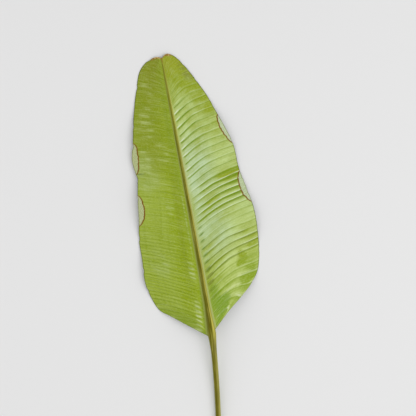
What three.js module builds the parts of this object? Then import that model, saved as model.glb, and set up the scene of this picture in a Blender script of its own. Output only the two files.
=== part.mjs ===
// A banana leaf, picked with its stalk. It lies with its underside up, so the rib stands proud along the
// top, both halves of the blade droop to the surface, and the gutter of the stalk faces down.
// Millimetres, +Z up, +Y from the cut stalk to the tip. The leaf grew as one piece, so it is one mesh.

import * as THREE from "three";

// Sizes along the leaf. While it is drawn, Y = 0 is where the blade joins the stalk.
const BLADE_LENGTH = 692; // to the notch at the tip, measured along the rib
const STALK_LENGTH = 285;
const RIGHT_BASE = 3; // the right half of the blade starts this far up the rib
const LEFT_BASE = -11; // the left half starts lower
const TIP_LEAN = -21; // sideways drift of the rib at the tip
const CUT_LEAN = -24; // sideways drift of the stalk at its cut end

// The blade.
const PLEAT_COUNT = 38; // pleats in each half, one between each two strong veins
const PLEAT_DEPTH = 1.5; // from groove to crest, near the rib
const PLEAT_START = 0.07; // share of the way out at which the pleats reach that depth
const PLEAT_FADE = 0.65; // share of the depth that they lose by the margin
const BLADE_THICK = 1.0; // at the rib
const MARGIN_THICK = 0.7;
const SLOPE = 0.22; // how steeply the halves leave the rib
const SAG = 0.0006; // how much steeper they get outwards, per millimetre
const FLOOR_BLEND = 6; // height over which a drooping half eases onto the surface
const HALF_SPAN = 150; // a typical rib-to-margin distance
const RIGHT_WAVE = { height: 7, length: 230, phase: 0.6 };
const LEFT_WAVE = { height: 8, length: 175, phase: 2.2 };

// Veins leave the rib at VEIN_ANGLE and bend outwards. VEIN_ENDS says how far along its margin each one
// ends, for how far along the rib it starts, both as shares.
const VEIN_ANGLE = [[0, 50], [90, 58], [300, 61], [520, 60], [600, 50], [640, 38], [BLADE_LENGTH, 12]];
const VEIN_BEND = 0.42;
const VEIN_ENDS = [
  [0, 0], [0.03, 0.13], [0.08, 0.215], [0.15, 0.278], [0.36, 0.44], [0.6, 0.635], [0.85, 0.852], [1, 1],
];

// Where the margins run, from the base round to the tip, without the two ends on the rib.
const RIGHT_MARGIN = [
  [51, 43], [87, 73], [115, 99], [136, 128], [147, 167], [152, 220], [151, 285], [139, 345], [130, 385],
  [128, 410], [124, 454], [96, 534], [78, 582], [56, 625], [38, 657], [20, 683], [5, 697], [-8, 700.5],
];
const LEFT_MARGIN = [
  [-52, 18], [-97, 50], [-121, 67], [-136, 98], [-146, 140], [-145, 200], [-146, 245], [-138, 300],
  [-132, 355], [-126.5, 397], [-132, 448], [-122.5, 497], [-111, 562], [-94, 629], [-80, 668],
  [-60, 688], [-41, 695.5], [-30, 695.5],
];

// The rib and the stalk, as [distance along the leaf, size].
const CUT_END = -STALK_LENGTH;
const RIB_HEIGHT = [
  [CUT_END, 7.2], [-140, 16], [0, 36], [150, 50], [350, 54], [520, 40], [640, 20], [BLADE_LENGTH, 10],
];
const RIB_HALF_WIDTH = [
  [CUT_END, 6.6], [-170, 6.7], [-50, 7.4], [-25, 9], [-8, 10.4], [10, 9.6], [45, 7.2], [90, 5.8],
  [250, 4.6], [500, 3.4], [640, 2.2], [BLADE_LENGTH, 0.9],
];
const RIB_ABOVE = [
  [CUT_END, 6.4], [-60, 6.8], [0, 7.6], [90, 6.2], [250, 5], [500, 3.4], [640, 1.8], [BLADE_LENGTH, 0.9],
];
const RIB_BELOW = [
  [CUT_END, 5.4], [-60, 5.6], [0, 4.6], [90, 3.2], [250, 2.2], [500, 1.4], [BLADE_LENGTH, 0.6],
];
const GUTTER_DEPTH = [[CUT_END, 3.2], [0, 2.6], [250, 1.2], [BLADE_LENGTH, 0.2]];
const LIP_PLACE = 0.66; // where the gutter's lips are, as a share of the rib's half width
const WALL_PLACE = 0.28; // where its walls are half way down

// How finely the mesh follows the shape.
const STALK_STEPS = 14;
const BLADE_COLUMNS = [0, 0.07, 0.2, 0.36, 0.52, 0.68, 0.84, 1]; // shares of the way from rib to margin
const DOME_STEPS = 5;
const MARGIN_SAMPLES = 600;
const TILT_STEP = 0.5; // the distance over which the sheet's slope is measured

// A smooth value that passes through a short list of [place, value] pairs.
function through(pairs, at) {
  const last = pairs.length - 1;
  const place = THREE.MathUtils.clamp(at, pairs[0][0], pairs[last][0]);
  const slope = (i) => {
    const [a, b] = [pairs[Math.max(i - 1, 0)], pairs[Math.min(i + 1, last)]];
    return (b[1] - a[1]) / (b[0] - a[0]);
  };
  let i = 0;
  while (i < last - 1 && place > pairs[i + 1][0]) i++;
  const span = pairs[i + 1][0] - pairs[i][0];
  const t = (place - pairs[i][0]) / span;
  const [start, end] = [pairs[i][1], pairs[i + 1][1]];
  const rise = end - start;
  const [before, after] = [slope(i) * span - rise, rise - slope(i + 1) * span];
  return start + rise * t + t * (1 - t) * (before * (1 - t) + after * t);
}

// The rib drifts to the left towards both ends.
function ribX(y) {
  return y > 0
    ? TIP_LEAN * (y / BLADE_LENGTH) ** 1.3
    : CUT_LEAN * (-y / STALK_LENGTH) ** 1.5;
}

// Height of the middle of the sheet above the surface: a tent whose skirts ease onto the floor.
function sheetHeight(x, y) {
  const out = Math.abs(x - ribX(y));
  const wave = x > ribX(y) ? RIGHT_WAVE : LEFT_WAVE;
  const swing = wave.height * Math.sin((2 * Math.PI * y) / wave.length + wave.phase);
  const flutter = swing * (out / HALF_SPAN) ** 2;
  const free = through(RIB_HEIGHT, y) - SLOPE * out - SAG * out * out + flutter;
  if (free >= FLOOR_BLEND) return free;
  return Math.max(free + FLOOR_BLEND, 0) ** 2 / (4 * FLOOR_BLEND);
}

// A point on the sheet, lifted along the sheet's normal.
function sheetPoint(x, y, lift) {
  const tiltX = (sheetHeight(x + TILT_STEP, y) - sheetHeight(x - TILT_STEP, y)) / (2 * TILT_STEP);
  const tiltY = (sheetHeight(x, y + TILT_STEP) - sheetHeight(x, y - TILT_STEP)) / (2 * TILT_STEP);
  const normal = new THREE.Vector3(-tiltX, -tiltY, 1).normalize();
  return new THREE.Vector3(x, y, sheetHeight(x, y)).addScaledVector(normal, lift);
}

function ribEdge(side, y) {
  return new THREE.Vector3(ribX(y) + side * through(RIB_HALF_WIDTH, y), y, 0);
}

// One half of the blade: side is 1 on the right and -1 on the left.
function half(side, base, outline) {
  const inner = outline.map(([x, y]) => new THREE.Vector3(x, y, 0));
  const ends = [ribEdge(side, base), ribEdge(side, BLADE_LENGTH)];
  const margin = new THREE.CatmullRomCurve3([ends[0], ...inner, ends[1]], false, "centripetal");
  margin.arcLengthDivisions = MARGIN_SAMPLES;
  return { side, base, margin };
}

// A vein's course in plan, from the rib's edge to the margin.
function vein(blade, y) {
  const share = (y - blade.base) / (BLADE_LENGTH - blade.base);
  const root = ribEdge(blade.side, y);
  const tip = blade.margin.getPointAt(through(VEIN_ENDS, share));
  const angle = THREE.MathUtils.degToRad(through(VEIN_ANGLE, y));
  const reach = VEIN_BEND * root.distanceTo(tip);
  const heading = new THREE.Vector3(ribX(y + 1) - ribX(y - 1), 2, 0).normalize();
  heading.applyAxisAngle(new THREE.Vector3(0, 0, 1), -blade.side * angle);
  return new THREE.QuadraticBezierCurve3(root, root.clone().addScaledVector(heading, reach), tip);
}

// The points of one half along a vein, rib to margin, on the face that looks up (1) or down (-1).
// On the stalk there is no blade, so they all fall on the rib's edge.
function sheetRow(blade, y, face, pleat) {
  const edge = ribEdge(blade.side, y);
  const course = y > blade.base ? vein(blade, y) : null;
  return BLADE_COLUMNS.map((share) => {
    const plan = course ? course.getPoint(share) : edge;
    const thick = THREE.MathUtils.lerp(BLADE_THICK, MARGIN_THICK, course ? share : 0);
    const fold = pleat * PLEAT_DEPTH * Math.min(share / PLEAT_START, 1) * (1 - PLEAT_FADE * share);
    return sheetPoint(plan.x, plan.y, (face * thick) / 2 + (course ? fold : 0));
  });
}

// The rounded top of the rib or stalk, left to right, without its two edges.
function dome(y) {
  const points = [];
  for (let i = 1; i < DOME_STEPS; i++) {
    const turn = Math.PI * (1 - i / DOME_STEPS);
    const x = ribX(y) + through(RIB_HALF_WIDTH, y) * Math.cos(turn);
    const lift = BLADE_THICK / 2 + through(RIB_ABOVE, y) * Math.sin(turn);
    points.push(new THREE.Vector3(x, y, sheetHeight(x, y) + lift));
  }
  return points;
}

// Its underside, right to left: two lips with the gutter between them.
function gutter(y) {
  const lip = through(RIB_BELOW, y);
  const bed = lip - through(GUTTER_DEPTH, y);
  const wall = (lip + bed) / 2;
  const section = [
    [LIP_PLACE, lip], [WALL_PLACE, wall], [0, bed], [-WALL_PLACE, wall], [-LIP_PLACE, lip],
  ];
  return section.map(([share, depth]) => {
    const x = ribX(y) + share * through(RIB_HALF_WIDTH, y);
    return new THREE.Vector3(x, y, sheetHeight(x, y) - BLADE_THICK / 2 - depth);
  });
}

// One closed loop round the leaf: over the top from the left margin to the right one, and back below.
function loopAt(y, pleat) {
  const leftTop = sheetRow(leftHalf, y, 1, pleat).reverse();
  const rightTop = sheetRow(rightHalf, y, 1, pleat);
  const rightBelow = sheetRow(rightHalf, y, -1, pleat).reverse();
  const leftBelow = sheetRow(leftHalf, y, -1, pleat);
  return [...leftTop, ...dome(y), ...rightTop, ...rightBelow, ...gutter(y), ...leftBelow];
}

// Sews loops into one closed surface. Points that fall together are one vertex, and the triangles that
// collapse with them are left out.
function sew(loops) {
  const index = [];
  const positions = [];
  const numbers = new Map();
  const number = (point) => {
    const key = point.toArray().map((value) => value.toFixed(3)).join();
    if (!numbers.has(key)) {
      numbers.set(key, numbers.size);
      positions.push(...point.toArray());
    }
    return numbers.get(key);
  };
  const triangle = (...corners) => {
    const [a, b, c] = corners.map(number);
    if (a !== b && b !== c && c !== a) index.push(a, b, c);
  };
  const count = loops[0].length;
  for (let i = 0; i + 1 < loops.length; i++) {
    for (let j = 0; j < count; j++) {
      const next = (j + 1) % count;
      triangle(loops[i][j], loops[i][next], loops[i + 1][next]);
      triangle(loops[i][j], loops[i + 1][next], loops[i + 1][j]);
    }
  }
  const cap = (loop, middle, facing) => {
    for (let j = 0; j < count; j++) {
      const [a, b] = [loop[j], loop[(j + 1) % count]];
      if (facing < 0) triangle(middle, b, a);
      else triangle(middle, a, b);
    }
  };
  cap(loops[0], sheetPoint(ribX(CUT_END), CUT_END, 1), -1);
  cap(loops[loops.length - 1], sheetPoint(ribX(BLADE_LENGTH), BLADE_LENGTH, 0), 1);
  return new THREE.BufferGeometry()
    .setAttribute("position", new THREE.Float32BufferAttribute(positions, 3))
    .setIndex(index);
}

const rightHalf = half(1, RIGHT_BASE, RIGHT_MARGIN);
const leftHalf = half(-1, LEFT_BASE, LEFT_MARGIN);

const loops = [];
for (let i = 0; i <= STALK_STEPS; i++) {
  loops.push(loopAt(THREE.MathUtils.lerp(CUT_END, LEFT_BASE, i / STALK_STEPS), 0));
}
// Two loops to a pleat, in a groove and on a crest by turns. The first and last have no fold.
const bladeSteps = 2 * PLEAT_COUNT;
for (let i = 0; i <= bladeSteps; i++) {
  const atEnd = i === 0 || i === bladeSteps;
  const pleat = i % 2 ? 0.5 : -0.5;
  loops.push(loopAt(THREE.MathUtils.lerp(RIGHT_BASE, BLADE_LENGTH, i / bladeSteps), atEnd ? 0 : pleat));
}

const geometry = sew(loops);
geometry.computeBoundingBox();
const { min, max } = geometry.boundingBox;
geometry.translate(-(min.x + max.x) / 2, -(min.y + max.y) / 2, -min.z);
geometry.computeVertexNormals();

const leafGreen = new THREE.MeshStandardMaterial({ color: 0x9ab04a, roughness: 0.45, metalness: 0 });
const leaf = new THREE.Mesh(geometry, leafGreen);
leaf.name = "banana_leaf";

const bananaLeaf = new THREE.Group();
bananaLeaf.add(leaf);

export default bananaLeaf;
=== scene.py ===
import math
from types import SimpleNamespace

import bpy
import numpy as np
from mathutils import Matrix, Vector


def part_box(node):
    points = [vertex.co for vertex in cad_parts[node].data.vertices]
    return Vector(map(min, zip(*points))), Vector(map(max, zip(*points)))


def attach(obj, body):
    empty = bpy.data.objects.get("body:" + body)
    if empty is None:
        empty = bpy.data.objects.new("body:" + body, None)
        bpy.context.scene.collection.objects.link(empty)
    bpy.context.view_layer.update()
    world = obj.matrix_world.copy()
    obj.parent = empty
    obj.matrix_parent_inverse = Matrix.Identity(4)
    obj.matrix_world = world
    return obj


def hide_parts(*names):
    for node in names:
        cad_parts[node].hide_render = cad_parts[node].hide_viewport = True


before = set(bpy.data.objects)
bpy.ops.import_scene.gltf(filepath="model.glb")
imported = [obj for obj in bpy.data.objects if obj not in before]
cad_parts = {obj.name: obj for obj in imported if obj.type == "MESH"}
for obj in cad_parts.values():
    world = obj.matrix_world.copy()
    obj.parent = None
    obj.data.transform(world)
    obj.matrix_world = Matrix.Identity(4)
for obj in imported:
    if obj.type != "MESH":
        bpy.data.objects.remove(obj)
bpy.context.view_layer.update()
MM = 0.001


# --- The leaf ---------------------------------------------------------------------------------------
# One grown piece: a guttered stalk that runs on as the rib, and two thin pleated halves of blade. It
# lies underside up, so the rib stands proud, and both halves droop until their margins touch down.
# The course of the rib, the margins and the veins is drawn in millimetres from the base of the blade.
#
# Places along it: the tip of the blade, the cut end of the stalk, and where each half starts.
BLADE_LENGTH = 692
CUT_END = -285
RIGHT_BASE = 3
LEFT_BASE = -11
# The rib leans sideways towards its tip and the stalk towards its cut, each along a power curve.
TIP_LEAN = -21
TIP_CURL = 1.3
CUT_LEAN = -24
CUT_CURL = 1.5
VEIN_SPACING = 18
PLEATS = BLADE_LENGTH / VEIN_SPACING
SHEET_THICK = 0.9
MARGIN_THICK = 0.6
# The halves fall away from the rib, sag further out, and ease on to the table over the last bit.
SLOPE = 0.22
SAG = 0.0006
FLOOR_BLEND = 6
TILT_STEP = 0.5
# Each half, right (1) and left (-1), flutters slowly: the height, length and phase of its wave.
HALF_SPAN = 150
WAVES = {1: (7, 230, 0.6), -1: (8, 175, 2.2)}
# Small wear of the margins: its depth on each half, the waves it is summed from (length, turn and
# height), how much of their sum leaves the margin whole, and the share of a half that it fades over.
WEAR_DEPTH = {1: 0.5, -1: 1.1}
WEAR_WAVES = [(7.3, 0, 1.0), (11.9, 1, 1.0), (4.1, 2, 0.8)]
WEAR_START = 0.6
WEAR_FADE = 0.05
# The angle at which veins leave the rib, and how far out they bend towards the margin.
VEIN_ANGLE = [(0, 50), (90, 58), (300, 61), (520, 60), (600, 50), (640, 38), (BLADE_LENGTH, 12)]
VEIN_BEND = 0.42
# How far along its margin each vein ends, as a share, for how far along the rib it starts.
VEIN_ENDS = [
    (0, 0), (0.03, 0.13), (0.08, 0.215), (0.15, 0.278), (0.36, 0.44), (0.6, 0.635), (0.85, 0.852), (1, 1),
]
RIGHT_MARGIN = [
    (51, 43), (87, 73), (115, 99), (136, 128), (147, 167), (152, 220), (151, 285), (139, 345), (130, 385),
    (128, 410), (124, 454), (96, 534), (78, 582), (56, 625), (38, 657), (20, 683), (5, 697), (-8, 700.5),
]
LEFT_MARGIN = [
    (-52, 18), (-97, 50), (-121, 67), (-136, 98), (-146, 140), (-145, 200), (-146, 245), (-138, 300),
    (-132, 355), (-126.5, 397), (-132, 448), (-122.5, 497), (-111, 562), (-94, 629), (-80, 668),
    (-60, 688), (-41, 695.5), (-30, 695.5),
]
# The stem from its cut to the tip: how high it stands, how wide it is, and how it is rounded above and
# hollowed below.
RIB_HEIGHT = [
    (CUT_END, 7.2), (-140, 16), (0, 36), (150, 50), (350, 54), (520, 40), (640, 20), (BLADE_LENGTH, 10),
]
RIB_HALF_WIDTH = [
    (CUT_END, 6.6), (-170, 6.7), (-50, 7.4), (-25, 9), (-8, 10.4), (10, 9.6), (45, 7.2), (90, 5.8),
    (250, 4.6), (500, 3.4), (640, 2.2), (BLADE_LENGTH, 0.9),
]
RIB_ABOVE = [
    (CUT_END, 6.4), (-60, 6.8), (0, 7.6), (90, 6.2), (250, 5), (500, 3.4), (640, 1.8), (BLADE_LENGTH, 0.9),
]
RIB_BELOW = [(CUT_END, 5.4), (-60, 5.6), (0, 4.6), (90, 3.2), (250, 2.2), (500, 1.4), (BLADE_LENGTH, 0.6)]
GUTTER_DEPTH = [(CUT_END, 3.2), (0, 2.6), (250, 1.2), (BLADE_LENGTH, 0.2)]
GUTTER_SPREAD = 0.34
LIP_FULLNESS = 1.25
# The stem has no margin, so its points are marked as lying this far inside one.
STALK_INSET = 200.0
RIB_INSET = 100.0
# How finely the leaf is divided: between two points of a margin, along the stalk and the blade, across
# each half, and over and under the rib.
COURSE_STEPS = 60
STALK_ROWS = 120
BLADE_ROWS = 330
COLUMNS = 38
DOME_STEPS = 20
GUTTER_STEPS = 14


def through(pairs, at):
    """A smooth value that passes through a short list of (place, value) pairs."""
    places, values = np.array(pairs, float).T
    at = np.clip(at, places[0], places[-1])
    i = np.clip(np.searchsorted(places, at, side="left") - 1, 0, len(places) - 2)
    slopes = np.empty(len(places))
    slopes[1:-1] = (values[2:] - values[:-2]) / (places[2:] - places[:-2])
    slopes[0] = (values[1] - values[0]) / (places[1] - places[0])
    slopes[-1] = (values[-1] - values[-2]) / (places[-1] - places[-2])
    span = places[i + 1] - places[i]
    t = (at - places[i]) / span
    rise = values[i + 1] - values[i]
    before = slopes[i] * span - rise
    after = rise - slopes[i + 1] * span
    return values[i] + rise * t + t * (1 - t) * (before * (1 - t) + after * t)


def rib_x(y):
    """The middle of the rib, and of the stalk below the base."""
    up = TIP_LEAN * (np.maximum(y, 0) / BLADE_LENGTH) ** TIP_CURL
    down = CUT_LEAN * (np.maximum(-y, 0) / -CUT_END) ** CUT_CURL
    return up + down


def sheet_height(x, y):
    """How high the middle of the sheet lies above the table."""
    out = x - rib_x(y)
    flutter = 0
    for side, (height, length, phase) in WAVES.items():
        flutter = flutter + np.where(out * side > 0, height * np.sin(math.tau * y / length + phase), 0)
    free = through(RIB_HEIGHT, y) - SLOPE * np.abs(out) - SAG * out**2 + flutter * (out / HALF_SPAN) ** 2
    eased = np.maximum(free + FLOOR_BLEND, 0) ** 2 / (4 * FLOOR_BLEND)
    return np.where(free >= FLOOR_BLEND, free, eased)


def sheet_normal(x, y):
    tilt_x = (sheet_height(x + TILT_STEP, y) - sheet_height(x - TILT_STEP, y)) / (2 * TILT_STEP)
    tilt_y = (sheet_height(x, y + TILT_STEP) - sheet_height(x, y - TILT_STEP)) / (2 * TILT_STEP)
    normal = np.stack([-tilt_x, -tilt_y, np.ones_like(tilt_x)], -1)
    return normal / np.linalg.norm(normal, axis=-1, keepdims=True)


def rib_edge(side, y):
    return np.stack([rib_x(y) + side * through(RIB_HALF_WIDTH, y), y], -1)


def margin_course(side, base, inner):
    """A dense course through the margin's points, and its running length."""
    ends = rib_edge(side, np.array([base, BLADE_LENGTH], float))
    points = np.vstack([ends[:1], inner, ends[1:]])
    points = np.vstack([2 * points[0] - points[1], points, 2 * points[-1] - points[-2]])
    steps = np.sqrt(np.linalg.norm(np.diff(points, axis=0), axis=1))
    t = np.linspace(0, 1, COURSE_STEPS)[:, None]
    course = []
    for i in range(1, len(points) - 2):
        a, b, c, d = points[i - 1:i + 3]
        before, here, after = steps[i - 1:i + 2]
        leave = ((b - a) / before - (c - a) / (before + here) + (c - b) / here) * here
        arrive = ((c - b) / here - (d - b) / (here + after) + (d - c) / after) * here
        bow = (2 * b - 2 * c + leave + arrive) * t**3 + (-3 * b + 3 * c - 2 * leave - arrive) * t**2
        course.append((b + leave * t + bow)[:-1])
    course.append(points[-2:-1])
    course = np.vstack(course)
    run = np.concatenate([[0], np.cumsum(np.linalg.norm(np.diff(course, axis=0), axis=1))])
    return course, run


def half_blade(side, base, inner, share):
    """Plan points of one half, row by row along its veins, with each row's run along the margin."""
    course, run = margin_course(side, base, inner)
    row_run = run[-1] * through(VEIN_ENDS, share)
    tip = np.stack([np.interp(row_run, run, course[:, k]) for k in (0, 1)], -1)
    y = base + (BLADE_LENGTH - base) * share
    root = rib_edge(side, y)
    length = np.linalg.norm(tip - root, axis=1)
    worn = sum(high * np.sin(row_run / wave + turn * side) for wave, turn, high in WEAR_WAVES)
    fade = np.clip(np.minimum(share, 1 - share) / WEAR_FADE, 0, 1)
    worn = np.maximum(worn - WEAR_START, 0) * WEAR_DEPTH[side] * fade
    tip = tip + (root - tip) * (worn / np.maximum(length, 1))[:, None]
    along = np.arctan2(2, rib_x(y + 1) - rib_x(y - 1))
    heading = along - side * np.radians(through(VEIN_ANGLE, y))
    bend = root + np.stack([np.cos(heading), np.sin(heading)], -1) * (VEIN_BEND * length)[:, None]
    even = np.linspace(0, 1, COLUMNS + 1)
    columns = 0.5 * even + 0.5 * (0.5 - 0.5 * np.cos(math.pi * even))
    v = columns[None, :, None]
    plan = (1 - v) ** 2 * root[:, None] + 2 * v * (1 - v) * bend[:, None] + v**2 * tip[:, None]
    return plan, columns, row_run, length


def leaf_loops():
    """The leaf's points, their normals and their marks, in loops from the left margin over the rib to
    the right margin and back below. On the stalk a loop's blade falls together on the rib's edge."""
    even = np.linspace(0, 1, BLADE_ROWS + 1)
    grow = np.interp(even, (even + through(VEIN_ENDS, even)) / 2, even)
    halves = {}
    for side, base, inner in ((1, RIGHT_BASE, RIGHT_MARGIN), (-1, LEFT_BASE, LEFT_MARGIN)):
        stalk_y = CUT_END + (base - CUT_END) * np.linspace(0, 1, STALK_ROWS + 1)[:-1]
        plan, columns, run, length = half_blade(side, base, inner, grow)
        edge = np.repeat(rib_edge(side, stalk_y)[:, None], COLUMNS + 1, axis=1)
        plan = np.vstack([edge, plan])
        on_blade = np.arange(len(plan)) >= STALK_ROWS
        out = np.where(on_blade[:, None], columns[None], 0)
        run = np.concatenate([np.zeros(STALK_ROWS), run])
        length = np.concatenate([np.full(STALK_ROWS, STALK_INSET), length])
        vein = np.concatenate([np.zeros(STALK_ROWS), grow * PLEATS])
        edge_y = np.concatenate([stalk_y, base + (BLADE_LENGTH - base) * grow])
        halves[side] = (plan, out, run, length, vein, edge_y)

    points, normals, marks = [], [], []

    def add(plan, lift, mark):
        """Adds columns of points to every loop. mark is (vein, share out, side), (run, inset, face)."""
        x, y = plan[..., 0], plan[..., 1]
        normal = sheet_normal(x, y)
        place = np.stack([x, y, sheet_height(x, y)], -1) + normal * np.asarray(lift)[..., None]
        points.append(place)
        normals.append(normal)
        marks.append(np.stack([np.broadcast_to(m, x.shape) for m in mark], -1))

    def add_half(side, face, outwards):
        plan, out, run, length, vein, edge_y = halves[side]
        thick = SHEET_THICK + (MARGIN_THICK - SHEET_THICK) * out
        inset = (1 - out) * length[:, None]
        pick = slice(None) if outwards else slice(None, None, -1)
        mark = (vein[:, None], out[:, pick], side, run[:, None], inset[:, pick], face)
        add(plan[:, pick], (face * thick / 2)[:, pick], mark)

    def add_rib(turns, face):
        """turns are places across the rib, from 1 at its right edge to -1 at its left one."""
        right_y, left_y = halves[1][5], halves[-1][5]
        y = left_y[:, None] + (right_y - left_y)[:, None] * (turns[None] + 1) / 2
        x = rib_x(y) + through(RIB_HALF_WIDTH, y) * turns[None]
        if face > 0:
            lift = SHEET_THICK / 2 + through(RIB_ABOVE, y) * np.sqrt(1 - turns[None] ** 2)
        else:
            lips = np.minimum(1, np.sqrt(np.maximum(1 - turns[None] ** 2, 0)) * LIP_FULLNESS)
            hollow = np.exp(-((turns[None] / GUTTER_SPREAD) ** 2))
            lift = -(SHEET_THICK / 2 + through(RIB_BELOW, y) * lips - through(GUTTER_DEPTH, y) * hollow)
        vein = halves[1][4][:, None]
        place = np.stack([x, y, sheet_height(x, y) + lift], -1)
        points.append(place)
        normals.append(np.broadcast_to([0.0, 0.0, 1.0], place.shape))
        mark = (vein, turns[None], 0, y, RIB_INSET, face)
        marks.append(np.stack([np.broadcast_to(m, x.shape) for m in mark], -1))

    add_half(-1, 1, False)
    add_rib(np.cos(math.pi * (1 - np.arange(1, DOME_STEPS) / DOME_STEPS)), 1)
    add_half(1, 1, True)
    add_half(1, -1, False)
    add_rib(np.cos(math.pi * np.arange(1, GUTTER_STEPS) / GUTTER_STEPS), -1)
    add_half(-1, -1, True)
    return [np.concatenate(block, axis=1) for block in (points, normals, marks)]


def sewn_mesh(points, normals, marks):
    """One closed mesh over the loops, capped at both ends, with the points that fall together merged
    and the middle of its footprint at the origin."""
    rows, count = points.shape[:2]
    number = np.arange(rows * count).reshape(rows, count)
    here, ahead = number[:-1], number[1:]
    quads = np.stack([here, np.roll(here, -1, 1), np.roll(ahead, -1, 1), ahead], -1).reshape(-1, 4)
    flat_points = points.reshape(-1, 3)
    rounded = np.round(flat_points, 4)
    kept, first, same = np.unique(rounded, axis=0, return_index=True, return_inverse=True)
    same = same.reshape(-1)
    faces = []
    for quad in same[quads]:
        corners = list(dict.fromkeys(quad.tolist()))
        if len(corners) > 2:
            faces.append(corners)
    for loop, facing in ((same[number[0]], -1), (same[number[-1]], 1)):
        faces.append(list(dict.fromkeys(loop.tolist()))[::facing])
    low, high = kept.min(0), kept.max(0)
    centre = np.array([(low[0] + high[0]) / 2, (low[1] + high[1]) / 2, low[2]])
    mesh = bpy.data.meshes.new("banana_leaf_form")
    mesh.from_pydata(((kept - centre) * MM).tolist(), [], faces)
    marks, normals = marks.reshape(-1, 6)[first], normals.reshape(-1, 3)[first]
    for name, values in (("vein_place", marks[:, :3]), ("margin_place", marks[:, 3:]), ("lift", normals)):
        layer = mesh.attributes.new(name, "FLOAT_VECTOR", "POINT")
        layer.data.foreach_set("vector", np.ascontiguousarray(values, dtype=np.float32).ravel())
    mesh.update()
    return mesh, centre


leaf_form, growth_centre = sewn_mesh(*leaf_loops())


class Wire:
    """A node's output. A sum written on it adds the Math node that works it out."""

    def __init__(self, tree, socket):
        self.tree = tree
        self.socket = socket

    def sum(self, operation, *terms):
        return self.tree.add("ShaderNodeMath", {"operation": operation}, dict(enumerate(terms)))

    def __add__(self, other):
        return self.sum("ADD", self, other)

    def __radd__(self, other):
        return self.sum("ADD", other, self)

    def __sub__(self, other):
        return self.sum("SUBTRACT", self, other)

    def __rsub__(self, other):
        return self.sum("SUBTRACT", other, self)

    def __mul__(self, other):
        return self.sum("MULTIPLY", self, other)

    def __rmul__(self, other):
        return self.sum("MULTIPLY", other, self)

    def __truediv__(self, other):
        return self.sum("DIVIDE", self, other)

    def __pow__(self, other):
        return self.sum("POWER", self, other)

    def __gt__(self, other):
        return self.sum("GREATER_THAN", self, other)

    def __lt__(self, other):
        return self.sum("LESS_THAN", self, other)

    def at_least(self, other):
        return self.sum("MAXIMUM", self, other)

    def at_most(self, other):
        return self.sum("MINIMUM", self, other)

    def absolute(self):
        return self.sum("ABSOLUTE", self)

    def part(self):
        return self.sum("FRACT", self)

    def whole(self):
        return self.sum("FLOOR", self)

    def rise(self, low, high):
        """0 below low, 1 above high, eased between. With high below low it falls instead."""
        settings = {"interpolation_type": "SMOOTHSTEP"}
        values = {"Value": self, "From Min": low, "From Max": high}
        return self.tree.add("ShaderNodeMapRange", settings, values)

    def bump(self, middle, width):
        """1 at middle, falling smoothly to 0 at width on both sides."""
        return (self - middle).absolute().rise(width, 0)

    def within(self, low, high, soft):
        """1 between low and high, falling smoothly to 0 a little outside them."""
        return self.rise(low - soft, low + soft) * self.rise(high + soft, high - soft)


class Tree:
    """A node tree that grows by one method."""

    def __init__(self, tree):
        self.tree = tree

    def add(self, kind, settings=None, sockets=None, output=0):
        made = self.tree.nodes.new(kind)
        for name, value in (settings or {}).items():
            if name == "stops":
                while len(made.color_ramp.elements) < len(value):
                    made.color_ramp.elements.new(1)
                for element, (place, colour) in zip(made.color_ramp.elements, value):
                    element.position = place
                    element.color = colour
            else:
                setattr(made, name, value)
        for name, value in (sockets or {}).items():
            if isinstance(name, int):
                socket = made.inputs[name]
            else:
                socket = next(s for s in made.inputs if name in (s.identifier, s.name))
            if isinstance(value, Wire):
                self.tree.links.new(value.socket, socket)
            else:
                socket.default_value = value
        if isinstance(output, str):
            output = next(i for i, s in enumerate(made.outputs) if output in (s.identifier, s.name))
        return Wire(self, made.outputs[output]) if made.outputs else None

    def mix(self, share, plain, full):
        """Two colours mixed. Where share is 0 the first shows, and where it is 1 the second."""
        values = {"Factor_Float": share, "A_Color": plain, "B_Color": full}
        return self.add("ShaderNodeMix", {"data_type": "RGBA"}, values, "Result_Color")

    def coat(self, ground, *coats):
        """Coats of paint over a ground, one after the other. Each is its share and its colour."""
        for share, colour in coats:
            ground = self.mix(share, ground, colour)
        return ground

    def noise(self, place, detail=2.0, roughness=0.5):
        """Smooth noise from 0 to 1, read at a place of up to three values."""
        spot = self.add("ShaderNodeCombineXYZ", None, dict(zip("XYZ", place)))
        values = {"Vector": spot, "Scale": 1.0, "Detail": detail, "Roughness": roughness}
        return self.add("ShaderNodeTexNoise", {"noise_dimensions": "3D"}, values)

    def swing(self, place, detail=2.0, roughness=0.5):
        """The same noise, spread to about -1 to 1."""
        return (self.noise(place, detail, roughness) - 0.5) * 4

    def parts(self, vector):
        return [self.add("ShaderNodeSeparateXYZ", None, {"Vector": vector}, axis) for axis in range(3)]


def paint(red, green, blue):
    """A colour of a paint chart, 0 to 255, as the linear values that shaders take."""
    def linear(value):
        share = value / 255
        return share / 12.92 if share <= 0.04045 else ((share + 0.055) / 1.055) ** 2.4
    return (linear(red), linear(green), linear(blue), 1.0)


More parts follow.
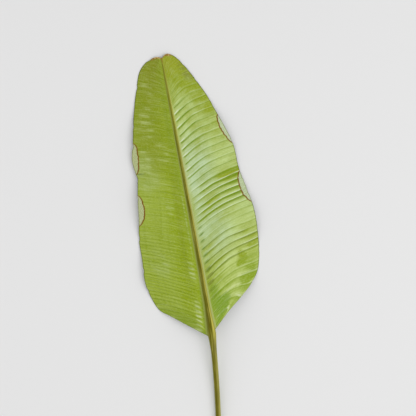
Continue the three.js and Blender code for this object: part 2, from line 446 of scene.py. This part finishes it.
def leaf_marks(tree, read):
    """Where a point is on the leaf, read from the mesh, and where it is between two strong veins.
    vein counts the veins from the base, and out is the share of the way to the margin. Lengths are in
    millimetres."""
    at = SimpleNamespace()
    at.vein, at.out, at.side = tree.parts(read("vein_place"))
    at.run, at.inset, at.face = tree.parts(read("margin_place"))
    at.right = at.side > 0.5
    at.blade = at.side.absolute().rise(0.4, 0.6)
    at.from_rib = at.out * at.inset / (1.02 - at.out)
    at.fold_line = 25 - at.vein * 0.45

    # The veins wander a little, and one more is squeezed in around the middle of the blade. Those of
    # the right half also bow.
    wander = tree.noise((at.vein * 0.3, at.out * 1.2, at.side * 7)) - 0.5
    bow = at.out.rise(0.0, 0.6) * 0.45 - at.out.rise(0.5, 1.0) * at.vein.rise(13.0, 10.0) * 0.4
    bow = bow - at.out.rise(0.2, 1.0) * at.vein.rise(6.0, 2.0) * 0.9
    at.phase = at.vein + at.vein.rise(12.0, 19.5) - bow * at.right + wander * 0.6
    at.share = at.phase.part()
    at.between = (at.phase * 2).part()
    at.each = tree.noise((at.phase.whole() * 3.7, at.out * 1.5, at.side * 5), 1.0).rise(0.3, 0.7)
    return at


# The pleats: between each two strong veins the sheet bows up in a small arch, sharp at the vein and
# deepest near the rib. Where the right margin is pinched in, a few pleats are folded much deeper.
PINCH = (14.3, 19.3)
PLEAT_SIZES = {
    "Right Pleat Depth": 1.5,
    "Left Pleat Depth": 0.7,
    "Pinch Depth": 1.7,
    "Pucker Depth": 5.0,
}


def pleat_tree():
    """Lifts the sheet off its plain form into pleats and slow puckers."""
    group = bpy.data.node_groups.new("leaf_pleats", "GeometryNodeTree")
    leaf_input = group.interface.new_socket("Leaf", in_out="INPUT", socket_type="NodeSocketGeometry")
    inputs = {"Leaf": leaf_input.identifier}
    for name, depth in PLEAT_SIZES.items():
        made = group.interface.new_socket(name, in_out="INPUT", socket_type="NodeSocketFloat")
        made.default_value = depth * MM
        inputs[name] = made.identifier
    tissue = group.interface.new_socket("Material", in_out="INPUT", socket_type="NodeSocketMaterial")
    inputs["Material"] = tissue.identifier
    group.interface.new_socket("Leaf", in_out="OUTPUT", socket_type="NodeSocketGeometry")
    tree = Tree(group)
    entry = group.nodes.new("NodeGroupInput")
    given = {socket.name: Wire(tree, socket) for socket in entry.outputs if socket.name}

    def read(name):
        settings = {"data_type": "FLOAT_VECTOR"}
        return tree.add("GeometryNodeInputNamedAttribute", settings, {"Name": name}, "Attribute")

    at = leaf_marks(tree, read)
    arch = 4 * at.share * (1 - at.share)
    ripple = at.between * (1 - at.between) * 1.1
    root = at.from_rib.rise(at.fold_line * 0.45, at.fold_line * 1.1)
    fade = 1 - 0.6 * at.out.rise(0.25, 1.0)
    left_depth, right_depth = given["Left Pleat Depth"], given["Right Pleat Depth"]
    depth = left_depth + (right_depth - left_depth) * at.right
    pleat = (arch + ripple) * depth * root * fade * (0.35 + 1.2 * at.each)
    pinched = at.vein.within(*PINCH, 0.5) * at.out.rise(0.25, 0.7) * at.right
    pinch = (arch - 0.6) * pinched * given["Pinch Depth"]

    pucker = tree.noise((at.vein * 0.2, at.out * 2.6, at.side * 3 + 11), 3.0) - 0.5
    pucker = pucker * given["Pucker Depth"] * at.out.rise(0.02, 0.25)
    height = (pleat + pinch + pucker) * at.blade
    values = {"Vector": read("lift"), "Scale": height}
    offset = tree.add("ShaderNodeVectorMath", {"operation": "SCALE"}, values)
    moved = tree.add("GeometryNodeSetPosition", None, {"Geometry": given["Leaf"], "Offset": offset})
    whole = tree.add("GeometryNodeRealizeInstances", None, {"Geometry": moved})
    done = tree.add("GeometryNodeSetMaterial", None, {"Geometry": whole, "Material": given["Material"]})
    group.links.new(done.socket, group.nodes.new("NodeGroupOutput").inputs[0])
    return group, inputs


# Wax and sheen: the pale wax on the right half together with a painted sheen of the light on it. How much
# there is by the rib, half way out and by the margin, from the base of the blade (0) to its tip (1).
WAX_AND_SHEEN_BY_RIB = [
    (0.0, 0.15), (0.1, 0.0), (0.2, 0.15), (0.28, 0.5), (0.34, 0.68), (0.42, 0.52), (0.52, 0.95),
    (0.65, 0.85), (0.79, 0.75), (0.86, 0.35), (0.96, 0.0),
]
WAX_AND_SHEEN_HALF_WAY = [
    (0.0, 0.2), (0.05, 0.3), (0.12, 0.68), (0.22, 0.78), (0.33, 0.64), (0.43, 0.42), (0.56, 0.78),
    (0.64, 0.5), (0.78, 0.6), (0.84, 0.25), (0.95, 0.0),
]
WAX_AND_SHEEN_BY_MARGIN = [
    (0.0, 0.5), (0.06, 0.6), (0.12, 0.42), (0.22, 0.55), (0.33, 0.82), (0.38, 0.7), (0.45, 0.4), (0.49, 0.3),
    (0.56, 0.75), (0.66, 0.5), (0.72, 0.26), (0.8, 0.0), (0.95, 0.0),
]
# Patches of the blade, each as its middle (vein, share of the way out), its reach along and across the
# blade, and its strength: where the right half shows less wax and painted sheen, and where it lies in shade.
BARE_PATCHES = [
    (6.5, 0.7, 1.1, 0.09, 1.5), (10.4, 0.9, 0.5, 0.3, 0.25), (7.6, 1.0, 0.7, 0.2, 0.5),
    (3.4, 0.85, 0.9, 0.25, 0.6),
]
SHADED_PATCHES = [(1.7, 0.34, 1.6, 0.2, 1.0), (3.6, 0.16, 2.2, 0.1, 0.7)]
WORN_PATCH = (34.4, 0.9, 1.6, 0.2)
# The same for the left half: where its short dashes of painted highlight gather, where it is faded, and
# where its painted grey sheen is strongest.
DASH_PATCHES = [
    (28.5, 0.72, 3.0, 0.22, 1.0), (33.0, 0.72, 2.2, 0.25, 0.6), (24.5, 0.4, 2.0, 0.2, 0.7),
    (17.2, 0.4, 1.6, 0.12, 1.0), (23.2, 0.8, 2.2, 0.2, 1.0), (8.0, 0.7, 2.4, 0.16, 0.9),
    (20.5, 0.75, 1.5, 0.25, 1.0),
]
FADED_PATCHES = [(21.5, 0.82, 3.6, 0.32, 1.0), (8.5, 0.72, 2.6, 0.2, 0.6)]
GREY_SHEEN_PATCH = (21.5, 0.8, 3.4, 0.3)
# Windows are stretches of margin eaten down to the clear skin, each healed with a brown rim: the half
# that it is on, where it starts and ends along the margin, and how far in it reaches, in millimetres.
WINDOWS = [(-1, 487, 567, 14), (-1, 357, 435, 14), (1, 510, 591, 10), (1, 355, 438, 13)]


def reach(at, vein, out, along, across):
    """How far a point lies from the middle of a patch: 0 there, and 1 at the patch's edge."""
    return ((at.vein - vein) / along) ** 2 + ((at.out - out) / across) ** 2


def round_patch(at, *patch):
    """A patch with an even edge: 1 inside and 0 outside."""
    return reach(at, *patch).rise(1.0, 0.2)


def ragged_patch(at, *patch):
    """A patch whose edge is torn by the leaf's own streaks."""
    return (reach(at, *patch) + at.streak * 0.5 + at.patch * 0.8).rise(1.7, 0.3)


def all_patches(at, shape, patches):
    found = 0
    for *patch, strength in patches:
        found = shape(at, *patch) * strength + found
    return found


# The right half's colours: its wax with painted sheen, cooler or warmer, the living green below, its
# folds in painted highlight and shade, and its wear.
# The wax colours are lightened by a painted sheen of the light falling from the right.
YELLOW_WAX_SHEEN = paint(194, 211, 122)
GREEN_WAX_SHEEN = paint(192, 212, 136)
BLUE_WAX_SHEEN = paint(190, 212, 166)
RIB_SIDE_WAX_SHEEN = paint(186, 199, 116)
BASE_GREEN = paint(138, 163, 28)
LIVING_GREEN = paint(147, 164, 26)
# The furrow colours are painted shade in the pleats' grooves; the crest colour is a painted highlight.
FURROW_SHADE = paint(112, 144, 0)
LOWER_FURROW_SHADE = paint(104, 124, 20)
CREST_HIGHLIGHT = paint(220, 230, 196)
ROOT_GREEN = paint(116, 128, 22)
DASH_GREEN = paint(98, 130, 22)
# A painted highlight on the pleat ridges at the base of the right half.
RIDGE_HIGHLIGHT = paint(206, 220, 152)
RIGHT_TIP_GREEN = paint(156, 160, 30)
SHADE_GREEN = paint(112, 150, 20)
WORN_OLIVE = paint(112, 112, 26)


def fold_marks(at):
    """Where the right half's pleats fold sharply, and how strongly each gets painted light and shade."""
    at.lower_pleats = at.vein.within(6.8, 11.5 - at.out.rise(0.6, 0.95) * 2.0, 0.6)
    at.upper_pleats = at.vein.within(20.0, 31.0, 1.0) * at.out.rise(0.95, 0.2)
    at.folded = at.from_rib.rise(at.fold_line * 0.25, at.fold_line * 0.75)
    at.pinched = at.vein.within(*PINCH, 0.3) * (at.out + at.each * 0.2).rise(0.12, 0.42)
    strength = 0.25 + at.vein.rise(7.0, 3.0) * 0.5 + at.pinched
    strength = strength + at.lower_pleats * 0.6 + at.upper_pleats * 0.35
    tip_fade = at.vein.rise(34.5, 30.5)
    at.strength = strength * (0.45 + 0.7 * at.each) * at.folded * tip_fade


def wax_and_sheen_amount(tree, at):
    """Wax and painted sheen on the right half: most above each vein, little where bare or in painted shade.
    """
    def along_blade(stops):
        ramp = [(place, (value, value, value, 1.0)) for place, value in stops]
        return tree.add("ShaderNodeValToRGB", {"stops": ramp}, {"Fac": at.vein / PLEATS})

    # Wax with painted sheen, by the rib, half way out and by the margin.
    wax_and_sheen = tree.mix(at.out.rise(0.1, 0.5), along_blade(WAX_AND_SHEEN_BY_RIB), along_blade(WAX_AND_SHEEN_HALF_WAY))
    wax_and_sheen = tree.mix(at.out.rise(0.5, 0.9), wax_and_sheen, along_blade(WAX_AND_SHEEN_BY_MARGIN))
    wax_and_sheen = wax_and_sheen + at.patch * 0.34 + at.streak * 0.26
    # Painted light across each pleat: lighter just above its lower vein, darker towards the next.
    wax_and_sheen = wax_and_sheen + (0.45 - at.share) * at.strength

    # Curved bands near the base, with less wax and painted sheen.
    swirl = (at.out - 0.15 - (3.7 - at.vein) * 0.146 + at.streak * 0.04).bump(0.0, 0.13)
    swirl = swirl * at.vein.within(1.2, 3.6, 1.0) * (0.6 + at.patch * 0.6)
    # A band of painted shade, with less wax and sheen, along the top of the pinched pleats.
    shade_above_pinch = at.vein.within(18.3, 19.3, 0.3) * (at.out + at.streak * 0.05).rise(0.35, 0.9)
    bare = all_patches(at, ragged_patch, BARE_PATCHES) + shade_above_pinch
    wax_and_sheen = wax_and_sheen - (bare + swirl).at_most(1.2) * 0.65
    return wax_and_sheen.at_least(0).at_most(1)


def right_half_paint(tree, at):
    """Each pleat has a painted highlight just above its lower vein and painted shade just below the next."""
    fold_marks(at)
    cool = at.out.rise(0.75, 0.4) * at.vein.within(9.0, 26.0, 3.0)
    # Wax colours with painted sheen over them, mixed in by region.
    wax_and_sheen_colour = tree.coat(
        YELLOW_WAX_SHEEN,
        (at.vein.rise(6.5, 10.5), GREEN_WAX_SHEEN),
        (cool, BLUE_WAX_SHEEN),
        (at.from_rib.rise(18.0, 4.0) * 0.5, RIB_SIDE_WAX_SHEEN),
    )
    living = tree.mix(at.vein.rise(4.0, 9.0), BASE_GREEN, LIVING_GREEN)
    green = tree.mix(wax_and_sheen_amount(tree, at), living, wax_and_sheen_colour)

    # Painted highlights on the crests of the pleats, and painted shade in the grooves between them.
    crest_highlight = at.share.bump(0.12, 0.12) * at.streak.rise(-0.6, 0.4) * at.strength
    short_highlight = at.share.bump(0.18, 0.17) * at.from_rib.bump(at.fold_line * 0.8, 17.0) * at.upper_pleats * 1.6
    crest_highlight = crest_highlight + short_highlight * at.streak.rise(-0.5, 0.6) + at.share.bump(0.09, 0.09) * at.pinched * 0.45
    width = 0.1 + 0.12 * at.each + at.pinched * (0.26 + 0.36 * at.out.rise(0.55, 1.0))
    width = width + at.lower_pleats * 0.14 + at.upper_pleats * 0.15
    groove = ((1 - at.share) / width).rise(1.0, 0.2) + (at.share / 0.05).rise(1.0, 0.0)
    depth = 0.36 + at.upper_pleats * 0.85 + at.lower_pleats * 0.5 + at.pinched * 0.7
    depth = depth * (0.8 + 0.25 * at.streak) * at.folded * at.vein.rise(37.0, 31.0)
    furrow_shade = tree.mix(at.lower_pleats, FURROW_SHADE, LOWER_FURROW_SHADE)

    # Dark roots and dashes where the veins leave the rib, and painted highlights on the ridges at the base.
    off_middle = (at.share - 0.5).absolute()
    roots = at.from_rib.bump(18.0, 18.0) * at.vein.within(4.0, 9.0, 0.8) * 1.3
    roots = roots * off_middle.rise(0.1, 0.42) * (0.5 + at.each)
    dashes = at.from_rib.bump(at.fold_line * 0.8, 13.0) * at.vein.within(8.0, 14.2, 0.7)
    dashes = dashes * off_middle.rise(0.22, 0.45) * (0.3 + at.each) * at.streak.rise(-0.9, 0.2)
    ridge_highlight = at.share.bump(0.3, 0.24) * (at.streak + at.patch).rise(-0.5, 0.8)
    ridge_highlight = ridge_highlight * at.vein.within(0.8, 5.0, 1.0) * at.out.rise(0.25, 0.5)
    towards_tip = at.vein.rise(33.0, 37.5)
    shade = all_patches(at, ragged_patch, SHADED_PATCHES)
    worn = ragged_patch(at, *WORN_PATCH) * (at.patch + at.streak).rise(-0.4, 0.8)
    return tree.coat(
        green,
        (crest_highlight.at_most(1) * 0.8, CREST_HIGHLIGHT),
        ((groove * depth).at_most(0.94), furrow_shade),
        (roots.at_most(1) * 0.8, ROOT_GREEN),
        ((dashes * 1.6).at_most(1) * 0.85, DASH_GREEN),
        (ridge_highlight * 0.6, RIDGE_HIGHLIGHT),
        (towards_tip * 0.65, RIGHT_TIP_GREEN),
        (shade.at_most(1) * 0.68, SHADE_GREEN),
        (worn * 0.75, WORN_OLIVE),
    )


# The left half's colours: a yellow-green, greyer with painted sheen or darker by region, and its light
# and dark marks, some of them painted highlight and shade.
YELLOW_GREEN = paint(145, 165, 8)
# A grey painted sheen over the outer part of the left half.
GREY_SHEEN_GREEN = paint(157, 176, 62)
LEFT_TIP_OLIVE = paint(125, 126, 8)
LEFT_BASE_GREEN = paint(124, 146, 28)
UPPER_MARGIN_OLIVE = paint(132, 140, 26)
UPPER_GREEN = paint(128, 142, 14)
BAND_GREEN = paint(134, 154, 6)
VALLEY_GREEN = paint(134, 152, 0)
RIB_SIDE_GREEN = paint(140, 166, 26)
RIB_STRIP_GREEN = paint(120, 144, 6)
RIB_SHADE_GREEN = paint(124, 144, 4)
# Dark painted shade along a crease.
CREASE_SHADE = paint(70, 84, 24)
FADED_GREEN = paint(170, 188, 116)
# Pale painted highlight on the crests and near the rib of the left half.
PALE_DASH_HIGHLIGHT = paint(196, 210, 146)
RIBBED_GREEN = paint(112, 134, 10)
DARK_STREAK = paint(116, 138, 12)
LIGHT_STREAK = paint(176, 194, 92)


def left_half_paint(tree, at):
    """Turned from the light: a flat green, with painted grey sheen outwards and short pale painted
    highlights.
    """
    # Painted grey sheen, greatest towards the margin and in one patch.
    grey_sheen = at.out.rise(0.3, 0.6) * at.vein.rise(28.0, 20.0) * 0.7 + at.patch * 0.35
    grey_sheen = grey_sheen + round_patch(at, *GREY_SHEEN_PATCH) * 0.4
    towards_tip = at.vein.rise(30.0, 37.0) * at.out.rise(-0.3, 0.7)
    towards_base = at.vein.rise(3.2, 1.0) * at.out.rise(0.15, 0.4)
    upper_margin = at.vein.rise(17.0, 27.0) * at.out.rise(0.2, 0.65)
    bands = tree.noise((at.out * 14.0, at.vein * 0.12, 5.0)) - 0.5
    valley = at.out.bump(0.24, 0.11) * at.vein.within(8.0, 25.0, 3.0)
    rib_strip = at.from_rib.bump(6.0, 6.0) * at.vein.rise(8.0, 4.5)
    rib_shade = at.from_rib.bump(14.0, 13.0) * at.vein.within(12.0, 36.0, 3.0)
    # A line of painted shade along a crease that runs in to the margin.
    crease_shade = (at.vein - 22.2 + at.out).bump(0.0, 0.2) * at.out.rise(0.8, 0.93)
    faded = all_patches(at, round_patch, FADED_PATCHES) * (at.patch + at.streak).rise(-1.2, 0.9)
    green = tree.coat(
        YELLOW_GREEN,
        (grey_sheen.at_least(0).at_most(1), GREY_SHEEN_GREEN),
        (towards_tip * 0.95, LEFT_TIP_OLIVE),
        (towards_base * 0.8, LEFT_BASE_GREEN),
        (upper_margin * 0.5, UPPER_MARGIN_OLIVE),
        (at.vein.within(22.0, 37.0, 2.5) * 0.4, UPPER_GREEN),
        (bands.at_least(0) * 2.0, BAND_GREEN),
        (valley * 0.85, VALLEY_GREEN),
        (at.from_rib.bump(9.0, 5.0) * 0.4, RIB_SIDE_GREEN),
        (rib_strip * 0.8, RIB_STRIP_GREEN),
        (rib_shade * 0.55, RIB_SHADE_GREEN),
        (crease_shade, CREASE_SHADE),
        (faded * 0.5, FADED_GREEN),
    )

    # Painted highlights: pale dashes on the crests, flecks near the rib, and a broken pale line beside it.
    some_pleats = tree.noise((at.phase.whole() * 2.3, at.out * 3.0, 9.0)).rise(0.36, 0.5)
    dash = at.share.bump(0.55, 0.38) * all_patches(at, round_patch, DASH_PATCHES)
    dash = dash * some_pleats * at.streak.rise(-0.6, 0.4)
    flecks = (at.from_rib.bump(22.0, 13.0) * 1.4).at_most(1) * (at.phase * 1.5).part().bump(0.5, 0.42)
    flecks = flecks * (at.vein.within(7.4, 9.8, 0.6) + at.vein.within(0.4, 4.2, 0.6)) * (0.9 + at.each)
    glint = at.from_rib.bump(12.0, 4.0) * at.vein.within(11.0, 19.0, 1.5) * at.streak.rise(-0.5, 0.5)
    pale_highlight = dash * 0.5 + (flecks + glint * 0.64) * 0.75 * at.streak.rise(-1.2, 0.3)

    # Fine dark ribs near the base, and painted shade in a faint groove at each strong vein.
    ribbed = at.between.bump(0.0, 0.3) + at.between.bump(1.0, 0.3)
    ribbed = ribbed * at.vein.rise(17.0, 8.0) * 0.62 * at.from_rib.rise(12.0, 25.0)
    groove = (at.share - 0.5).absolute().rise(0.3, 0.5) * (0.08 + 0.3 * at.each)
    groove = groove * at.from_rib.rise(10.0, 22.0)
    return tree.coat(
        green,
        (pale_highlight.at_most(1), PALE_DASH_HIGHLIGHT),
        (groove.at_least(ribbed), RIBBED_GREEN),
        ((0 - at.streak).at_least(0) * 0.22, DARK_STREAK),
        (at.streak.at_least(0) * 0.34, LIGHT_STREAK),
    )


# The fine grain of both halves, the bands beside the rib, and the thread along the margin.
LIGHT_LINE = paint(208, 220, 150)
DARK_LINE = paint(108, 136, 12)
LIGHT_MOTTLE = paint(212, 222, 160)
DARK_MOTTLE = paint(110, 138, 24)
PALE_FIBRE = paint(205, 212, 150)
LEFT_BAND = paint(150, 158, 84)
RIGHT_BAND = paint(182, 189, 120)
UPPER_RIGHT_BAND = paint(188, 194, 92)
MARGIN_THREAD = paint(84, 88, 30)


def blade_paint(tree, at):
    """Both halves, with the fine grain that they share, the bands beside the rib and the margin's thread."""
    line = tree.swing((at.phase * 9.0, at.out * 1.5, at.side * 4), 2.0, 0.6)
    mottle = tree.noise((at.phase * 6.0, at.out * 26.0, at.side * 2), 3.0, 0.7) - 0.5
    strip = tree.mix(at.vein.rise(22.0, 30.0), RIGHT_BAND, UPPER_RIGHT_BAND)
    band = (at.from_rib / (6.5 - at.vein * 0.13)).rise(1.2, 0.6) * (at.vein / PLEATS).rise(1.0, 0.8)
    at.thread = at.inset.rise(2.0, 0.7) * (0.7 + 0.2 * at.patch)
    return tree.coat(
        tree.mix(at.right, left_half_paint(tree, at), right_half_paint(tree, at)),
        (line.at_least(0) * 0.3, LIGHT_LINE),
        ((0 - line).at_least(0) * 0.26, DARK_LINE),
        (mottle.at_least(0) * 0.9, LIGHT_MOTTLE),
        ((0 - mottle).at_least(0) * 0.8, DARK_MOTTLE),
        ((at.fibre - 0.5).at_least(0) * 0.5, PALE_FIBRE),
        (band * 0.8, tree.mix(at.right, LEFT_BAND, strip)),
        (at.thread, MARGIN_THREAD),
    )


# The clear skin of the windows, speckled in two tones, its healed rim, and the dried tip.
LEFT_SKIN_DARK = paint(158, 172, 104)
LEFT_SKIN_PALE = paint(204, 210, 160)
RIGHT_SKIN_DARK = paint(170, 190, 126)
RIGHT_SKIN_PALE = paint(214, 226, 190)
SKIN_THREAD = paint(120, 120, 70)
HEALED_BROWN = paint(124, 84, 18)
DRY_BROWN = paint(134, 98, 40)
DRY_STRAW = paint(208, 182, 116)


def eaten_margin(tree, at, green):
    """The windows with their rims, and the dried edge at the tip, over the blade's green."""
    at.clear = 0.0
    at.rim = 0.0
    scallop = tree.noise((at.run * 0.11, at.side * 4)) - 0.5
    nibble = tree.noise((at.run * 0.5, at.inset * 0.5, at.side), 1.0) - 0.5
    for half, start, end, depth in WINDOWS:
        place = (at.run - (start + end) / 2) / ((end - start) / 2)
        bow = (1 - place * place).at_least(0) ** 0.7
        bite = bow * depth + (scallop * 6 + nibble * 2) * bow - at.inset
        here = ((at.side * half) > 0.5) * (place.absolute() < 1.0)
        at.clear = bite.rise(0.0, 0.8) * here + at.clear
        at.rim = bite.absolute().rise(2.0, 0.9) * here + at.rim
    speck = tree.noise((at.vein * 9.0, at.inset * 0.6, at.side), 4.0, 0.7).rise(0.36, 0.6)
    left_skin = tree.mix(speck, LEFT_SKIN_DARK, LEFT_SKIN_PALE)
    right_skin = tree.mix(speck, RIGHT_SKIN_DARK, RIGHT_SKIN_PALE)
    at.skin = tree.mix(at.right, left_skin, right_skin)
    dried = (at.inset - at.patch * 2).rise(8.0, 4.0) * (at.vein / PLEATS).rise(0.958, 0.972)
    straw = tree.mix(at.streak.rise(-0.4, 0.4), DRY_BROWN, DRY_STRAW)
    return tree.coat(
        green,
        (at.clear.at_most(1), at.skin),
        ((at.thread * at.clear).at_most(1), SKIN_THREAD),
        ((at.rim * (0.9 + 0.2 * at.patch)).at_most(1), HEALED_BROWN),
        (dried, straw),
    )


# The rib from its left edge to its right one, the stalk in the same way, and their streaks. Both are
# darker on the left with painted shade and lighter on the right with painted light.
RIB_LEFT_EDGE = paint(126, 134, 48)
# The rib's olive-brown core, darkened with painted shade.
RIB_CORE_SHADE = paint(102, 100, 6)
UPPER_RIB_CORE_SHADE = paint(118, 122, 20)
# Its right flank painted lit, with a yellowish line brightened as a painted highlight.
RIB_LIT_FLANK = paint(186, 178, 66)
RIB_HIGHLIGHT_LINE = paint(212, 202, 104)
RIB_BROWN_LINE = paint(134, 122, 50)
RIB_RIGHT_EDGE = paint(182, 186, 112)
STALK_LEFT_EDGE = paint(124, 122, 50)
# The stalk's olive in painted shade, and its right flank painted lit.
STALK_SHADED_OLIVE = paint(100, 95, 0)
STALK_LIT_FLANK = paint(166, 160, 84)
PALE_GRAIN = paint(196, 190, 120)
LIGHT_STRAND = paint(206, 196, 96)
DARK_STRAND = paint(70, 62, 10)
DRY_STEM = paint(150, 118, 52)


def stem_paint(tree, at):
    """The rib and the stalk: a flank in painted shade and a flank with painted light, both streaked along
    their length. Here out runs across the stem, from -1 at its left edge to 1 at its right one."""
    grain = tree.noise((at.out * 6.0, at.run * 0.012, 3.0), 3.0, 0.6)
    strand = tree.swing((at.out * 2.4, at.run * 0.014, 8.0), 3.0, 0.6)
    cross = at.out + (grain - 0.5) * 0.5
    core_edge = at.run.rise(-20, 80) * 0.3 + at.run.rise(300, 560) * 0.25 + 0.12
    # Dark core in painted shade; lit flank and highlight line painted on the right.
    rib = tree.coat(
        tree.mix(at.run.rise(300, 600), RIB_CORE_SHADE, UPPER_RIB_CORE_SHADE),
        ((cross - core_edge).rise(-0.05, 0.35), RIB_LIT_FLANK),
        (at.out.rise(-0.6, -1.0), RIB_LEFT_EDGE),
        (at.out.bump(0.58, 0.2) * 0.6, RIB_HIGHLIGHT_LINE),
        (at.out.bump(0.82, 0.15) * 0.5, RIB_BROWN_LINE),
        (at.out.rise(0.85, 1.0), RIB_RIGHT_EDGE),
    )
    # The stalk: painted shade on the left, painted light on the right.
    stalk = tree.coat(
        STALK_SHADED_OLIVE,
        (cross.rise(-0.35, 1.1), STALK_LIT_FLANK),
        (at.out.rise(-0.5, -1.0), STALK_LEFT_EDGE),
    )
    dried_end = at.run.rise(BLADE_LENGTH - 16, BLADE_LENGTH - 6)
    return tree.coat(
        stalk,
        (at.run.rise(-45, 10), rib),
        ((grain - 0.55).at_least(0) * 1.6, PALE_GRAIN),
        (strand.at_least(0) * 0.5, LIGHT_STRAND),
        ((0 - strand).at_least(0) * 0.55, DARK_STRAND),
        (dried_end, DRY_STEM),
    )


# The side that lies on the table.
UNDER_GREEN = paint(92, 122, 30)
UNDER_GROOVE = paint(70, 98, 24)
GUTTER_GREEN = paint(150, 160, 74)


def under_paint(tree, at):
    """The face turned to the table is the upper face of the living leaf: darker, and grooved."""
    groove = (at.share - 0.5).absolute().rise(0.3, 0.5)
    dark = (groove * 0.4 + at.streak * 0.1).at_least(0)
    green = tree.mix(dark, UNDER_GREEN, UNDER_GROOVE)
    return tree.coat(GUTTER_GREEN, (at.blade, green), (at.clear.at_most(1), at.skin))


# Its finish: how deep and strong the grain is, how rough and shiny the skin, how clear the windows.
GRAIN_DEPTH = 0.6 * MM
GRAIN_STRENGTH = 0.35
ROUGHNESS = 0.42
UNDER_SHINE = 0.1
SHEEN = 0.07
CLEARNESS = 0.14


def leaf_material():
    """One paint for the whole leaf, with a faint grain, and slightly see-through at the windows."""
    material = bpy.data.materials.new("leaf_tissue")
    material.use_nodes = True
    material.node_tree.nodes.clear()
    tree = Tree(material.node_tree)

    def read(name):
        return tree.add("ShaderNodeAttribute", {"attribute_name": name}, None, "Vector")

    at = leaf_marks(tree, read)
    at.patch = tree.swing((at.vein * 0.5, at.out * 4.0, at.side * 3), 3.0)
    at.streak = tree.swing((at.phase * 4.0, at.out * 3.0, at.side * 9), 4.0, 0.6)
    at.fibre = tree.noise((at.phase * 20.0, at.out * 60.0, at.side), 2.0, 0.6)
    face_up = at.face.rise(-0.5, 0.5)

    green = eaten_margin(tree, at, blade_paint(tree, at))
    colour = tree.mix(at.blade, stem_paint(tree, at), green)
    colour = tree.mix(face_up, under_paint(tree, at), colour)
    height = at.fibre * 0.15 + at.streak * 0.05
    grooves = {"Strength": GRAIN_STRENGTH, "Distance": GRAIN_DEPTH, "Height": height}
    values = {
        "Base Color": colour,
        "Roughness": ROUGHNESS + at.patch * 0.03 - (1 - face_up) * UNDER_SHINE,
        "Alpha": 1 - at.clear.at_most(1) * (1 - at.rim.at_most(1)) * CLEARNESS,
        "Normal": tree.add("ShaderNodeBump", None, grooves, "Normal"),
        "Specular IOR Level": SHEEN,
    }
    shader = tree.add("ShaderNodeBsdfPrincipled", None, values)
    tree.add("ShaderNodeOutputMaterial", None, {"Surface": shader})
    return material


SHARP_ANGLE = math.radians(60)
leaf_tissue = leaf_material()
pleats, pleat_inputs = pleat_tree()
form = bpy.data.objects.new("banana_leaf_form", leaf_form)
bpy.context.scene.collection.objects.link(form)
folding = form.modifiers.new("leaf_pleats", "NODES")
folding.node_group = pleats
folding[pleat_inputs["Material"]] = leaf_tissue
bpy.context.view_layer.update()
folded = bpy.data.meshes.new_from_object(form.evaluated_get(bpy.context.evaluated_depsgraph_get()))
bpy.data.objects.remove(form)
folded.name = "banana_leaf_grown"
folded.shade_smooth()
folded.set_sharp_from_angle(angle=SHARP_ANGLE)

low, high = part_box("banana_leaf")
rest = Vector(((low[0] + high[0]) / 2, (low[1] + high[1]) / 2, low[2]))
folded.transform(Matrix.Translation(rest))
leaf = bpy.data.objects.new("banana_leaf_grown", folded)
bpy.context.scene.collection.objects.link(leaf)
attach(leaf, "root")
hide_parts("banana_leaf")


# --- The table ---------------------------------------------------------------------------------------
# A plain pale sheet that the leaf lies on, far wider than the view.
FLOOR_SIZE = 12.0
PAPER_WHITE = paint(232, 232, 232)
PAPER_ROUGHNESS = 0.9
floor_mesh = bpy.data.meshes.new("floor")
half = FLOOR_SIZE / 2
corners = [(-half, -half, 0), (half, -half, 0), (half, half, 0), (-half, half, 0)]
floor_mesh.from_pydata(corners, [], [(0, 1, 2, 3)])
floor = bpy.data.objects.new("floor", floor_mesh)
bpy.context.scene.collection.objects.link(floor)
paper = bpy.data.materials.new("pale_floor")
paper.use_nodes = True
paper_shader = paper.node_tree.nodes["Principled BSDF"]
paper_shader.inputs["Base Color"].default_value = PAPER_WHITE
paper_shader.inputs["Roughness"].default_value = PAPER_ROUGHNESS
floor_mesh.materials.append(paper)


# --- The light and the camera --------------------------------------------------------------------------
# A big soft light stands to the right, a weaker one fills in from the left, and the room is evenly
# bright. The camera looks straight down, turned so that the leaf leans to the left.
ROOM_BRIGHTNESS = 0.57


def soft_light(name, place, aim, size, power):
    data = bpy.data.lights.new(name, "AREA")
    data.shape = "SQUARE"
    data.size = size
    data.energy = power
    light = bpy.data.objects.new(name, data)
    light.location = place
    light.rotation_euler = (Vector(aim) - Vector(place)).to_track_quat("-Z", "Y").to_euler()
    bpy.context.scene.collection.objects.link(light)


soft_light("right_softbox", place=(1.7, -0.5, 3.5), aim=(0, 0.1, 0), size=4.0, power=73)
soft_light("left_softbox", place=(-2.6, 0.4, 2.0), aim=(0, 0.1, 0), size=2.8, power=18)
world = bpy.data.worlds.new("room")
world.use_nodes = True
sky = world.node_tree.nodes["Background"]
sky.inputs["Color"].default_value = (1, 1, 1, 1)
sky.inputs["Strength"].default_value = ROOM_BRIGHTNESS
bpy.context.scene.world = world

# What the camera takes in, in metres at the height of the leaf, and the middle of its view, in the
# leaf's own millimetres.
VIEW_WIDTH = 1.04
LEAF_PLANE = 0.012
LENS = 85
SENSOR = 36
LEAF_LEAN = math.radians(8.7)
VIEW_MIDDLE = (37.5, 302.8)
eye = bpy.data.cameras.new("eye")
eye.lens = LENS
eye.sensor_width = SENSOR
camera = bpy.data.objects.new("eye", eye)
above = VIEW_WIDTH * LENS / SENSOR
camera.location = (
    rest.x + (VIEW_MIDDLE[0] - growth_centre[0]) * MM,
    rest.y + (VIEW_MIDDLE[1] - growth_centre[1]) * MM,
    above + LEAF_PLANE,
)
camera.rotation_euler = (0, 0, -LEAF_LEAN)
bpy.context.scene.collection.objects.link(camera)
bpy.context.scene.camera = camera
bpy.context.scene.view_settings.view_transform = "Standard"
